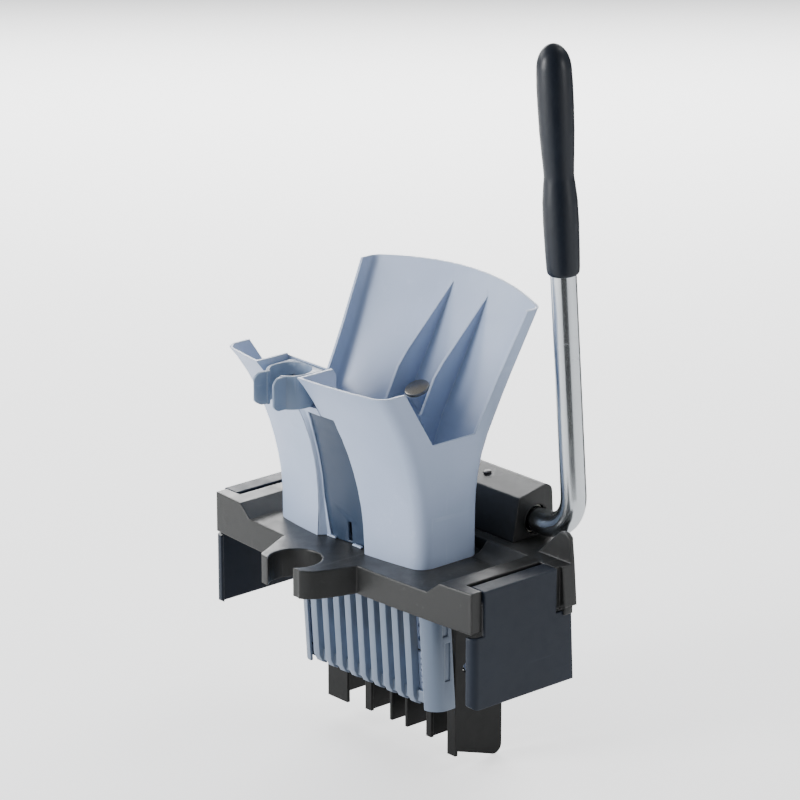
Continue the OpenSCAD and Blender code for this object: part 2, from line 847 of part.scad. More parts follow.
press_front_y = 30;
press_t = 4;
press_top = -8;
press_bottom = comb_z + 3;
pad_z = shaft_z - lift_per_rad;
pad_above = 8;
pad_below = 13;
contact_y = shaft_y - 6.5;

module press_plate() {
    color("#4c4b49")
    difference() {
        union() {
            translate([cx(-press_half), press_front_y, press_bottom])
                cube([2 * press_half, press_t, press_top - press_bottom]);
            // pads that the cams push on
            for (s = [-1, 1])
                translate([fx(s * cam_rel) - cam_w * 0.8, press_front_y + press_t - 1, pad_z - pad_below])
                    cube([1.6 * cam_w, contact_y - press_front_y - press_t + 1, pad_below + pad_above]);
            // stiffening ribs
            for (rel = [-74, -37, 0, 37, 74])
                translate([cx(rel) - 1.5, press_front_y + press_t - 1, press_bottom + 2])
                    cube([3, 6, press_top - press_bottom - 4]);
            for (z = slot_z)
                for (s = [-1, 1])
                    translate([cx(s * (press_half - 7)), guide_y, z]) rotate([0, 90, 0])
                        cylinder(d = guide_d + 5, h = 14, center = true);
        }
        for (z = slot_z)
            translate([cx(-press_half - 1), guide_y, z]) rotate([0, 90, 0])
                cylinder(d = stub_d, h = 2 * press_half + 2);
    }
}

stub_d = 5;

// Pins with round heads that run in the cage's slots
module guide_pins() {
    color("#d9d6cc")
    for (z = slot_z)
        for (s = [-1, 1])
            translate([cx(s * (press_half - 12)), guide_y, z])
                rotate([0, s * 90, 0]) {
                    cylinder(d = stub_d - 0.1, h = 13);
                    translate([0, 0, 12 + run_gap]) cylinder(d = guide_d, h = cage_half - press_half - run_gap);
                }
}

module press_facing() {
    rows = 9;
    h = press_top - press_bottom - 8;
    half = press_half - 4.8;
    color("#b7c6d9")
    translate([cx(-half), press_front_y - 3 - seat_gap, press_bottom + 4])
    difference() {
        union() {
            cube([2 * half, 3, h]);
            for (i = [0:rows]) translate([8 + i * (2 * half - 20) / rows, -3, 0]) cube([4, 3.5, h]);
        }
        for (i = [0:rows - 1])
            for (z = [10:12:h - 8])
                translate([8 + (i + 0.5) * (2 * half - 20) / rows + 2, -1, z])
                    rotate([-90, 0, 0]) cylinder(d = 5, h = 6, $fn = 12);
    }
}

// Lever

module lever_frame() {
    translate([0, shaft_y, shaft_z]) rotate([lever_lean, 0, 0]) children();
}

module tube_path(r) {
    straight = lever_x - bend_r - shaft_end_x;
    up = lever_len - 12 - bend_r;
    translate([shaft_end_x, 0, 0]) rotate([0, 90, 0]) cylinder(r = r, h = straight);
    translate([lever_x - bend_r, 0, bend_r]) rotate([90, 0, 0]) rotate([0, 0, -90])
        rotate_extrude(angle = 90) translate([bend_r, 0]) circle(r);
    translate([lever_x, 0, bend_r]) cylinder(r = r, h = up);
}

module lever_tube() {
    color("#c9ced3")
    lever_frame()
    difference() {
        tube_path(tube_r);
        tube_path(tube_r - tube_wall);
        translate([shaft_end_x - 1, 0, 0]) rotate([0, 90, 0]) cylinder(r = tube_r - tube_wall, h = 3);
        translate([lever_x, 0, lever_len - 13]) cylinder(r = tube_r - tube_wall, h = 3);
        for (s = [-1, 1])
            translate([fx(s * cam_rel), 0, 0]) cylinder(d = cam_pin_d, h = 60, center = true);
        for (side = [-1, 1]) collar_screw_place(side) cylinder(d = collar_screw_d, h = 4, center = true);
    }
}

cam_pin_d = 5;

module lever_grip() {
    r = grip_d / 2;
    low = lever_len - grip_len;
    w = r - 2.5;
    color("#2e3a46")
    lever_frame()
    translate([lever_x, 0, low])
    rotate_extrude()
        polygon(concat(
            [[tube_r, 0], [12.5, 0], [13.4, 1.5], [13.9, 5], [14.4, 20], [14.9, 45], [14.6, 62], [13.4, 76],
                [w, 84], [w + 0.3, 92], [13.6, 105], [14.5, 122], [r - 0.1, 142], [r, 160], [r - 0.4, 172]],
            [for (a = [10:10:90]) [(r - 0.5) * cos(a), grip_len - 22 + 22 * sin(a)]],
            [[0, grip_len - 12], [tube_r, grip_len - 12]]));
}

module tube_plug() {
    color("#3c3c3c")
    lever_frame()
    translate([shaft_end_x, 0, 0]) rotate([0, 90, 0]) {
        cylinder(r = tube_r - tube_wall, h = 12);
        translate([0, 0, -2]) cylinder(r = tube_r - 0.2, h = 2);
    }
}

// Bushes that carry the shaft in the housing's end walls

bush_out = tube_r + 2;
bush_flange = tube_r + 3.4;
function wall_x(side) = fx(side * (housing_half - housing_wall - 9));

module bush(side) {
    x = wall_x(side);
    color("#d9d6cc")
    translate([x, shaft_y, shaft_z]) rotate([0, side * 90, 0])
    difference() {
        union() {
            translate([0, 0, -4]) cylinder(r = bush_out, h = 10);
            translate([0, 0, -6]) cylinder(r = bush_flange, h = 2);
        }
        translate([0, 0, -8]) cylinder(r = tube_r + 0.05, h = 20);
    }
}

module shaft_bush_right() {
    bush(1);
}

module shaft_bush_left() {
    bush(-1);
}

// Collars that stop the shaft moving sideways

collar_w = 10;
collar_screw_d = 5;
function collar_mid(side) = wall_x(side) - side * (6 + run_gap + collar_w / 2);

module shaft_collar(side) {
    color("#a7abae")
    difference() {
        translate([collar_mid(side), shaft_y, shaft_z]) rotate([0, 90, 0]) difference() {
            cylinder(r = tube_r + 3, h = collar_w, center = true);
            cylinder(r = tube_r, h = collar_w + 2, center = true);
        }
        lever_frame() collar_screw_place(side) translate([0, 0, -1])
            cylinder(d = collar_screw_d + 2 * seat_gap, h = 60);
    }
}

module shaft_collar_right() {
    shaft_collar(1);
}

module shaft_collar_left() {
    shaft_collar(-1);
}

module collar_screw_place(side) {
    translate([collar_mid(side), 0, tube_r]) children();
}

module collar_screws() {
    color("#6e7174")
    lever_frame()
    for (side = [-1, 1])
        collar_screw_place(side)
            translate([0, 0, -1]) difference() {
                cylinder(d = collar_screw_d, h = 5);
                translate([0, 0, 3.4]) cylinder(d = 2.6, h = 3, $fn = 6);
            }
}

// Cam arm whose involute edge pushes the press plate at a steady rate

cam_start = (shaft_y - contact_y - run_gap) / lift_per_rad;
cam_steps = 18;
cam_hub = tube_r + 4;

// A point of the involute, unwound by u radians, turned back by the lever's own turn
function involute(u) =
    let (turn = (u - cam_start) * 180 / PI, y = -lift_per_rad * u, z = -lift_per_rad)
    [y * cos(turn) - z * sin(turn), y * sin(turn) + z * cos(turn)];

module cam(rel) {
    u0 = cam_start - 0.02;
    u1 = cam_start + lever_swing * PI / 180 + 0.05;
    edge = [for (i = [0:cam_steps]) involute(u0 + (u1 - u0) * i / cam_steps)];
    tip = edge[cam_steps];
    color("#7c7f82")
    translate([fx(rel) - cam_w / 2, shaft_y, shaft_z])
    difference() {
        union() {
            rotate([90, 0, 90]) linear_extrude(cam_w) polygon(concat(edge,
                [[tip[0] + 5, tip[1] + 1], [tip[0] + 9, tip[1] + 9], [cam_hub * 0.75, -9], [0, 0],
                    [-5.5, -14]]));
            rotate([0, 90, 0]) cylinder(r = cam_hub, h = cam_w);
        }
        translate([-1, 0, 0]) rotate([0, 90, 0]) cylinder(r = tube_r, h = cam_w + 2);
        translate([cam_w / 2, 0, 0]) rotate([lever_lean, 0, 0]) cylinder(d = cam_pin_d, h = 60, center = true);
    }
}

module cam_left() {
    cam(-cam_rel);
}

module cam_right() {
    cam(cam_rel);
}

module cam_pins() {
    color("#8f9498")
    lever_frame()
    for (s = [-1, 1])
        translate([fx(s * cam_rel), 0, 0]) cylinder(d = cam_pin_d, h = 2 * cam_hub - 1, center = true);
}

// Torsion spring round the shaft, one unbroken wire

wire_r = 1.2;
coil_count = 9;
coil_pitch = 3.2;
ring_steps = 12;
wire_sides = 6;
spring_r = (tube_r + wire_r + 0.2) / cos(180 / ring_steps);
spring_x = fx(-18);

function coil_point(i) = let (a = 360 * i / ring_steps)
    [spring_x + coil_pitch * i / ring_steps, spring_r * cos(a), spring_r * sin(a)];
function ring(i) = let (a = 360 * i / ring_steps, p = coil_point(i))
    [for (k = [0:wire_sides - 1]) let (b = 360 * k / wire_sides)
        [p[0] + wire_r * sin(b), p[1] + wire_r * cos(b) * cos(a), p[2] + wire_r * cos(b) * sin(a)]];

module return_spring() {
    count = coil_count * ring_steps;
    points = [for (i = [0:count]) each ring(i)];
    sides = [for (i = [0:count - 1]) for (k = [0:wire_sides - 1]) let (a = i * wire_sides + k,
        b = i * wire_sides + (k + 1) % wire_sides) each [[a, b, a + wire_sides],
        [b, b + wire_sides, a + wire_sides]]];
    caps = [for (k = [1:wire_sides - 2]) each [[0, k + 1, k],
        [count * wire_sides, count * wire_sides + k, count * wire_sides + k + 1]]];
    echo(least_gap_between_turns = coil_pitch - 2 * wire_r);
    color("#a7abae")
    translate([0, shaft_y, shaft_z]) polyhedron(points = points, faces = concat(sides, caps));
}

// Housing

module housing_profile(inset) {
    polygon(concat(
        [[housing_y0 + inset, block_top], [housing_y0 + inset + 7, housing_z1 - inset]],
        arc(housing_y1 - 2 - housing_r, housing_z2 - housing_r, housing_r - inset, 90, 0, 5),
        [[housing_y1 - inset, block_top]]));
}

module lever_housing() {
    length = 2 * housing_half;
    color("#5b5a57")
    difference() {
        union() {
            difference() {
                translate([fx(-housing_half), 0, 0]) rotate([90, 0, 90]) linear_extrude(length)
                    housing_profile(0);
                translate([fx(-housing_half) + housing_wall, 0, -eps]) rotate([90, 0, 90])
                    linear_extrude(length - 2 * housing_wall) housing_profile(housing_wall);
            }
            intersection() {
                translate([fx(-housing_half), 0, 0]) rotate([90, 0, 90]) linear_extrude(length)
                    housing_profile(1);
                for (side = [-1, 1])
                    translate([wall_x(side) - 4, housing_y0, block_top])
                        cube([8, housing_y1 - housing_y0, 60]);
            }
        }
        // clearance hole where the lever comes out
        translate([fx(housing_half) - 8, shaft_y, shaft_z]) rotate([0, 90, 0]) cylinder(r = tube_r + 2, h = 20);
        for (side = [-1, 1])
            translate([wall_x(side) - 6, shaft_y, shaft_z]) rotate([0, 90, 0])
                cylinder(r = bush_out + seat_gap, h = 12);
        for (rel = housing_screw_rel)
            for (y = housing_screw_y)
                translate([fx(rel), y, block_top - 1]) cylinder(d = grip_hole, h = housing_bite + 2);
        oil_place() translate([0, 0, -8]) cylinder(d = oil_d + 2 * seat_gap, h = 20);
    }
}

housing_bite = 6;
oil_x = 39.8;
oil_y = 58;
oil_d = 5;
top_slope = atan2(housing_z2 - housing_z1, housing_y1 - 2 - housing_r - housing_y0 - 7);

// A place on the housing's sloping top, square to it
module oil_place() {
    translate([oil_x, oil_y, housing_z1 + (oil_y - housing_y0 - 7) * tan(top_slope)])
        rotate([top_slope, 0, 0]) children();
}

module housing_screws() {
    color("#6e7174")
    for (rel = housing_screw_rel)
        for (y = housing_screw_y)
            translate([fx(rel), y, block_top + housing_bite]) rotate([180, 0, 0])
                screw(screw_d - 0.7, head_d, housing_bite + plate_wall);
}

module oil_plug() {
    color("#3c3c3c")
    oil_place() {
        translate([0, 0, -housing_wall - 1]) cylinder(d = oil_d, h = housing_wall + 1);
        cylinder(d = oil_d + 2, h = 1.2);
    }
}

// Latches

latch_top_x = plate_half + 3;
latch_gap_y = latch_y0 + 31;

module latch(s) {
    mirror([s > 0 ? 0 : 1, 0, 0]) {
        difference() {
            union() {
                // top flange, flush with the block
                translate([plate_half - 13, latch_y0, block_top - latch_wall])
                    cube([latch_top_x - plate_half + 13, latch_len, latch_wall]);
                latch_sheet();
                // hinge barrel
                translate([latch_pin_x, latch_y0 + latch_tuck, latch_pin_z]) rotate([-90, 0, 0])
                    cylinder(d = latch_pin_d + 5, h = latch_len - 2 * latch_tuck);
                for (i = [0:3])
                    translate([latch_pin_x - 2, latch_y0 + 0.5 + i * (latch_len - 4) / 3, latch_pin_z])
                        cube([latch_top_x - latch_pin_x + 1, 3, block_top - latch_pin_z - 1]);
            }
            translate([latch_pin_x, latch_y0 - 1, latch_pin_z]) rotate([-90, 0, 0])
                cylinder(d = latch_pin_d + 0.1, h = latch_len + 2);
            // gap in the barrel for the spring
            translate([latch_pin_x - 10, latch_gap_y, latch_pin_z - 10])
                cube([18, 18, 10 + 8]);
        }
    }
}

// Outer sheet with its turned front edge, widening below the plate's skirt
// the flap widens below the plate's skirt, and its front edge turns in
flap_front = 12.5;
flap_back = 17;
flap_flare = 3;
flap_top = -skirt_drop - 3.5;
flap_return = 9;
flap_r = 7;
latch_corner = 8;
latch_tuck = 0.2;
module latch_sheet() {
    foot = block_top - latch_depth;
    y0 = latch_y0 - flap_front;
    y1 = latch_y1 + flap_back;
    intersection() {
        translate([0, 0, foot - 1]) linear_extrude(latch_depth)
            polygon(concat([[latch_top_x - flap_return, y0]],
                arc(latch_top_x - flap_r, y0 + flap_r, flap_r, 270, 360, 6),
                [[latch_top_x, y1 + 5], [latch_top_x - latch_wall, y1 + 5]],
                arc(latch_top_x - flap_r, y0 + flap_r, flap_r - latch_wall, 360, 270, 6),
                [[latch_top_x - flap_return, y0 + latch_wall]]));
        translate([latch_top_x - 30, 0, 0]) rotate([90, 0, 90]) linear_extrude(60)
            polygon(concat([[latch_y0 + latch_tuck, block_top - 1], [latch_y0 + latch_tuck, flap_top],
                [y0 - 1, flap_top]], arc(y0 - 1 + latch_corner, foot + latch_corner, latch_corner, 180, 270, 6),
                [[y1 + flap_flare, foot], [y1, flap_top], [latch_y1 - latch_tuck, flap_top],
                [latch_y1 - latch_tuck, block_top - 1]]));
    }
}

module latch_left() {
    color("#333c47") latch(-1);
}

module latch_right() {
    color("#333c47") latch(1);
}

module latch_pin(s) {
    length = latch_len + 2 * latch_side_gap + 2 * pin_hold;
    color("#a7abae")
    translate([s * latch_pin_x, latch_y0 - latch_side_gap - pin_hold, latch_pin_z]) rotate([-90, 0, 0])
        cylinder(d = latch_pin_d, h = length);
}

module latch_pin_left() {
    latch_pin(-1);
}

module latch_pin_right() {
    latch_pin(1);
}

// Short torsion spring in the gap of the barrel, with its flat leg on the latch
module latch_spring(s) {
    r = latch_pin_d / 2;
    color("#a7abae")
    translate([s * latch_pin_x, latch_gap_y + 1, latch_pin_z]) rotate([-90, 0, 0])
    difference() {
        cylinder(r = r + 2.2, h = 16);
        translate([0, 0, -1]) cylinder(r = r + 0.4, h = 18);
    }
}

module latch_spring_left() {
    latch_spring(-1);
}

module latch_spring_right() {
    latch_spring(1);
}

module rim_pads() {
    color("#2c2c2c")
    pad_places(0);
}

// Rubber stops behind the cam arms, where the lever rests
buffer_z = -14;
buffer_face_y = 73.6;
module stop_buffers() {
    color("#2c2c2c")
    for (s = [-1, 1])
        translate([fx(s * cam_rel) - 5, buffer_face_y, buffer_z - 5])
            cube([10, plate_back - plate_wall - buffer_face_y, 10]);
}

module funnel_screws() {
    bite = funnel_boss_h - 4;
    color("#6e7174")
    for (rel = funnel_screw_rel)
        translate([fx(rel), funnel_screw_y, floor_top + bite]) rotate([180, 0, 0])
            screw(screw_d - 0.7, head_d, bite + plate_wall);
}

module cage_screws() {
    color("#6e7174")
    for (rel = cage_screw_rel)
        translate([cx(rel), cage_flange_y, screw_bite]) rotate([180, 0, 0])
            screw(screw_d - 0.7, head_d, screw_bite + plate_wall);
}

module basket_screws() {
    color("#6e7174")
    for (rel = basket_screw_rel)
        translate([cx(rel), basket_screw_y, plate_wall]) rotate([180, 0, 0])
            screw(screw_d - 0.7, head_d, plate_wall + basket_flange_t);
}

base_plate();
press_cage();
funnel();
channel_panel();
drain_basket();
drain_sheet();
handle_clip();
clip_screws();
scoop_stud();
lever_housing();
housing_screws();
oil_plug();
lever_tube();
lever_grip();
tube_plug();
shaft_bush_right();
shaft_bush_left();
shaft_collar_right();
shaft_collar_left();
collar_screws();
cam_left();
cam_right();
cam_pins();
return_spring();
press_plate();
press_facing();
guide_pins();
latch_left();
latch_right();
latch_pin_left();
latch_pin_right();
latch_spring_left();
latch_spring_right();
rim_pads();
stop_buffers();
funnel_screws();
cage_screws();
basket_screws();
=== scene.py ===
import json
import math

import bpy
from mathutils import Matrix, Vector


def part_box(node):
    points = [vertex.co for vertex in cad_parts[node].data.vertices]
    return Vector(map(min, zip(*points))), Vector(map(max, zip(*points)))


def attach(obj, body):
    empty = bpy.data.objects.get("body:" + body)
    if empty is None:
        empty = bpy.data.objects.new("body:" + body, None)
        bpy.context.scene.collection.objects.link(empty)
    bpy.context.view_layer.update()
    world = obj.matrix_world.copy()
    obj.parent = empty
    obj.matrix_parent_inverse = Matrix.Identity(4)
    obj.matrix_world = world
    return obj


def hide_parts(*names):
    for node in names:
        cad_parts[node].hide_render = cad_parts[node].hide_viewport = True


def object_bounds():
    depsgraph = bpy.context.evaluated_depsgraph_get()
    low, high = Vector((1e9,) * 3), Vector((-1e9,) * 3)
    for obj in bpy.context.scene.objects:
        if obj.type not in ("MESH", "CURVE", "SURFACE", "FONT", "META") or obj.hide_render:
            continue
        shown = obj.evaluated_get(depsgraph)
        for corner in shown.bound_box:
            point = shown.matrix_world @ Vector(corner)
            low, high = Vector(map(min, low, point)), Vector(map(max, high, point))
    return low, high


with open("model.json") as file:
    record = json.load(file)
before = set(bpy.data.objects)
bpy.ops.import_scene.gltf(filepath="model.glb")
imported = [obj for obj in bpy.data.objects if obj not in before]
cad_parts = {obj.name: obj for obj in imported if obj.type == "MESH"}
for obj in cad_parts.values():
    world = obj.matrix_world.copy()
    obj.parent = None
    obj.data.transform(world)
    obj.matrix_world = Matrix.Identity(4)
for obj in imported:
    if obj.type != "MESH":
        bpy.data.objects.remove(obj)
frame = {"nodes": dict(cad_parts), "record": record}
nodes = frame["nodes"]
cad_box = [list(corner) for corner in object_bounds()]
body_of_node = {node: body for body, names in frame["record"]["behaviour"]["bodies"].items() for node in names}
slot_of = {part["node"]: part["material_slot"] for part in frame["record"]["subparts"]}


# Camera

def place_camera():
    """Stand the camera where the photograph's camera stood."""
    right = Vector((0.6613, 0.7501, 0.0))
    down = Vector((0.2393, -0.2110, -0.9478))
    ahead = Vector((-0.7110, 0.6268, -0.3190))
    stand = Vector((2.5230, -2.2305, 1.2570))
    lens = bpy.data.cameras.new("camera")
    lens.sensor_width = 36.0
    lens.lens = 189.0
    lens.clip_end = 60.0
    camera = bpy.data.objects.new("camera", lens)
    bpy.context.scene.collection.objects.link(camera)
    turn = Matrix((right, -down, -ahead)).transposed().to_4x4()
    camera.matrix_world = Matrix.Translation(stand) @ turn
    bpy.context.scene.camera = camera


# Wiring of materials: a value is a number, a colour or the socket of an earlier step

# The mixing step has its amount and its two colours at these inputs, and its colour at this output
MIX_AMOUNT, MIX_UNDER, MIX_OVER, MIX_RESULT = 0, 6, 7, 2


def wire(tree, value, socket):
    """Link a socket to another, or set a plain value on it."""
    if isinstance(value, bpy.types.NodeSocket):
        tree.links.new(value, socket)
    else:
        socket.default_value = value


def math_step(tree, kind, first, second, clamp=False):
    step = tree.nodes.new("ShaderNodeMath")
    step.operation = kind
    step.use_clamp = clamp
    wire(tree, first, step.inputs[0])
    wire(tree, second, step.inputs[1])
    return step.outputs[0]


def span(tree, value, low, high, to_low=0.0, to_high=1.0):
    """Stretch a value from one span to another, and keep it inside."""
    step = tree.nodes.new("ShaderNodeMapRange")
    step.clamp = True
    wire(tree, value, step.inputs["Value"])
    wire(tree, low, step.inputs["From Min"])
    wire(tree, high, step.inputs["From Max"])
    wire(tree, to_low, step.inputs["To Min"])
    wire(tree, to_high, step.inputs["To Max"])
    return step.outputs["Result"]


def tint(tree, amount, under, over):
    """Lay one colour over another."""
    step = tree.nodes.new("ShaderNodeMix")
    step.data_type = "RGBA"
    wire(tree, amount, step.inputs[MIX_AMOUNT])
    wire(tree, under, step.inputs[MIX_UNDER])
    wire(tree, over, step.inputs[MIX_OVER])
    return step.outputs[MIX_RESULT]


def object_place(tree, stretch=(1.0, 1.0, 1.0)):
    """Object coordinates. A small stretch along an axis draws a pattern out into lines along it."""
    place = tree.nodes.new("ShaderNodeTexCoord").outputs["Object"]
    fit = tree.nodes.new("ShaderNodeMapping")
    fit.inputs["Scale"].default_value = stretch
    wire(tree, place, fit.inputs["Vector"])
    return fit.outputs["Vector"]


def noise(tree, place, scale, detail=2.0, rough=0.5):
    """Cloudy values, with about as many clouds in a metre as the scale says."""
    step = tree.nodes.new("ShaderNodeTexNoise")
    wire(tree, place, step.inputs["Vector"])
    wire(tree, scale, step.inputs["Scale"])
    step.inputs["Detail"].default_value = detail
    step.inputs["Roughness"].default_value = rough
    return step.outputs["Fac"]


def surface_normal(tree):
    return tree.nodes.new("ShaderNodeNewGeometry").outputs["Normal"]


def rounded_normal(tree, radius, samples):
    """The surface's direction as if its edges were rounded by a radius in metres."""
    step = tree.nodes.new("ShaderNodeBevel")
    step.samples = samples
    wire(tree, radius, step.inputs["Radius"])
    return step.outputs["Normal"]


def bumped(tree, height, distance, rounded=0.0):
    """Direction of a surface with a fine relief, over edges that look rounded where a radius is given."""
    step = tree.nodes.new("ShaderNodeBump")
    if rounded:
        wire(tree, rounded_normal(tree, rounded, samples=8), step.inputs["Normal"])
    step.inputs["Strength"].default_value = 1.0
    step.inputs["Distance"].default_value = distance
    wire(tree, height, step.inputs["Height"])
    return step.outputs["Normal"]


# Effects that the finishes share

def new_group(name, inlets, outlets):
    group = bpy.data.node_groups.new(name, "ShaderNodeTree")
    for label, value in inlets.items():
        socket = group.interface.new_socket(label, in_out="INPUT", socket_type="NodeSocketFloat")
        socket.default_value = value
    for label in outlets:
        group.interface.new_socket(label, in_out="OUTPUT", socket_type="NodeSocketFloat")
    return group, group.nodes.new("NodeGroupInput").outputs, group.nodes.new("NodeGroupOutput").inputs


def moulded_grain_group():
    """Fine pits, broad mottle and uneven gloss of moulded plastic."""
    group, given, out = new_group("moulded_grain", {"Pits": 1500.0}, ["Height", "Mottle", "Gloss"])
    place = object_place(group)
    fine = noise(group, place, given["Pits"], rough=0.6)
    broad = noise(group, place, scale=14.0, detail=3.0, rough=0.55)
    cells = group.nodes.new("ShaderNodeTexVoronoi")
    wire(group, place, cells.inputs["Vector"])
    wire(group, given["Pits"], cells.inputs["Scale"])
    pits = span(group, cells.outputs["Distance"], 0.1, 0.7)
    wire(group, math_step(group, "ADD", fine, math_step(group, "MULTIPLY", pits, 0.6)), out["Height"])
    wire(group, span(group, broad, 0.3, 0.7), out["Mottle"])
    wire(group, noise(group, place, scale=90.0, detail=4.0, rough=0.6), out["Gloss"])
    return group


def worn_edge_group():
    """Mask of the edges that hands and mops rub."""
    group, given, out = new_group("worn_edge", {"Reach": 0.0012}, ["Worn"])
    meet = group.nodes.new("ShaderNodeVectorMath")
    meet.operation = "DOT_PRODUCT"
    wire(group, rounded_normal(group, given["Reach"], samples=6), meet.inputs[0])
    wire(group, surface_normal(group), meet.inputs[1])
    edge = span(group, meet.outputs["Value"], 0.995, 0.80)
    cloud = noise(group, object_place(group), scale=60.0, detail=4.0, rough=0.65)
    patches = span(group, cloud, 0.36, 0.66, to_low=0.25)
    wire(group, math_step(group, "MULTIPLY", edge, patches), out["Worn"])
    return group


def settled_dust_group():
    """Mask of dust on faces that look up."""
    group, _, out = new_group("settled_dust", {}, ["Dust"])
    parts = group.nodes.new("ShaderNodeSeparateXYZ")
    wire(group, surface_normal(group), parts.inputs[0])
    up = span(group, parts.outputs["Z"], 0.3, 1.0)
    cloud = span(group, noise(group, object_place(group), scale=30.0, detail=5.0, rough=0.6), 0.35, 0.75)
    wire(group, math_step(group, "MULTIPLY", up, cloud), out["Dust"])
    return group


def scuff_group():
    """Mask of short scratches that run two ways, in some places only."""
    group, given, out = new_group("scuffs", {"Count": 120.0}, ["Scuff"])
    sideways = noise(group, object_place(group, (1.0, 0.08, 1.0)), given["Count"])
    upright = noise(group, object_place(group, (1.0, 1.0, 0.07)), given["Count"])
    both = math_step(group, "MAXIMUM", span(group, sideways, 0.66, 0.70), span(group, upright, 0.67, 0.71))
    where = span(group, noise(group, object_place(group), scale=11.0), 0.45, 0.62)
    wire(group, math_step(group, "MULTIPLY", both, where), out["Scuff"])
    return group


GROUPS = {}


def build_groups():
    GROUPS.update(moulded_grain=moulded_grain_group(), worn_edge=worn_edge_group(),
                  settled_dust=settled_dust_group(), scuffs=scuff_group())


def effect(tree, name, **settings):
    step = tree.nodes.new("ShaderNodeGroup")
    step.node_tree = GROUPS[name]
    for label, value in settings.items():
        step.inputs[label].default_value = value
    return step.outputs


# Finishes

def rgb(red, green, blue):
    """Screen colour, 0 to 255, as a linear one."""
    def straight(part):
        part /= 255.0
        return part / 12.92 if part <= 0.04045 else ((part + 0.055) / 1.055) ** 2.4
    return (straight(red), straight(green), straight(blue), 1.0)


def blank(name):
    finish = bpy.data.materials.new(name)
    finish.use_nodes = True
    return finish, finish.node_tree, finish.node_tree.nodes["Principled BSDF"].inputs


GREY_DUST = (0.42, 0.41, 0.39, 1.0)
PALE_DUST = rgb(196, 204, 214)

# On plastic: how strongly rubbed edges take the worn tone, how deep scuffs cut beside the grain,
# how much dust dulls, and how much rubbed edges shine
RUBBED_TONE, SCUFFS_CUT, DUST_DULLS, RUBBING_SHINES = 0.7, 0.8, 0.12, 0.08

# On metal: how much stains and scuffs dull, and how much rubbed edges shine
STAINS_DULL, SCUFFS_DULL, RUBBED_METAL_SHINES = 0.08, 0.12, 0.04


def moulded(name, colour, deep, worn, dust=GREY_DUST, dusty=0.10, rough=0.45, pits=1500.0, pit_depth=0.00003,
            scuffed=0.25, reach=0.0012, coat=0.0, shine=0.5, rounded=0.0012):
    """Moulded plastic: mottled colour, dust, scuffs and worn edges over a fine grain. Lengths are in metres."""
    finish, tree, skin = blank(name)
    grain = effect(tree, "moulded_grain", Pits=pits)
    edge = effect(tree, "worn_edge", Reach=reach)["Worn"]
    film = effect(tree, "settled_dust")["Dust"]
    marks = effect(tree, "scuffs")["Scuff"]
    body = tint(tree, grain["Mottle"], deep, colour)
    body = tint(tree, math_step(tree, "MULTIPLY", film, dusty), body, dust)
    body = tint(tree, math_step(tree, "MULTIPLY", marks, scuffed), body, worn)
    body = tint(tree, math_step(tree, "MULTIPLY", edge, RUBBED_TONE), body, worn)
    wire(tree, body, skin["Base Color"])
    gloss = span(tree, grain["Gloss"], 0.3, 0.7, rough - 0.05, rough + 0.07)
    gloss = math_step(tree, "ADD", gloss, math_step(tree, "MULTIPLY", film, DUST_DULLS))
    gloss = math_step(tree, "SUBTRACT", gloss, math_step(tree, "MULTIPLY", edge, RUBBING_SHINES), clamp=True)
    wire(tree, gloss, skin["Roughness"])
    height = math_step(tree, "SUBTRACT", grain["Height"], math_step(tree, "MULTIPLY", marks, SCUFFS_CUT))
    wire(tree, bumped(tree, height, pit_depth, rounded), skin["Normal"])
    skin["IOR"].default_value = 1.5
    skin["Specular IOR Level"].default_value = shine
    skin["Coat Weight"].default_value = coat
    skin["Coat Roughness"].default_value = 0.25
    return finish


def metal(name, colour, stained, rough, lines=(1.0, 1.0, 1.0), line_count=900.0, line_depth=0.000008, spotted=0.3):
    """Bare metal with drawn lines, stains, specks and scuffs."""
    finish, tree, skin = blank(name)
    drawn = noise(tree, object_place(tree, lines), line_count, detail=3.0, rough=0.6)
    cloud = span(tree, noise(tree, object_place(tree), scale=22.0, detail=5.0, rough=0.6), 0.4, 0.75)
    specks = span(tree, noise(tree, object_place(tree), scale=420.0, detail=3.0, rough=0.7), 0.62, 0.72)
    marks = effect(tree, "scuffs", Count=170.0)["Scuff"]
    edge = effect(tree, "worn_edge", Reach=0.0006)["Worn"]
    body = tint(tree, math_step(tree, "MULTIPLY", cloud, spotted), colour, stained)
    body = tint(tree, math_step(tree, "MULTIPLY", specks, spotted), body, stained)
    wire(tree, body, skin["Base Color"])
    skin["Metallic"].default_value = 1.0
    gloss = span(tree, drawn, 0.3, 0.7, rough * 0.8, rough * 1.25)
    gloss = math_step(tree, "ADD", gloss, math_step(tree, "MULTIPLY", cloud, STAINS_DULL))
    gloss = math_step(tree, "ADD", gloss, math_step(tree, "MULTIPLY", marks, SCUFFS_DULL))
    gloss = math_step(tree, "SUBTRACT", gloss, math_step(tree, "MULTIPLY", edge, RUBBED_METAL_SHINES), clamp=True)
    wire(tree, gloss, skin["Roughness"])
    wire(tree, bumped(tree, math_step(tree, "SUBTRACT", drawn, marks), line_depth), skin["Normal"])
    return finish


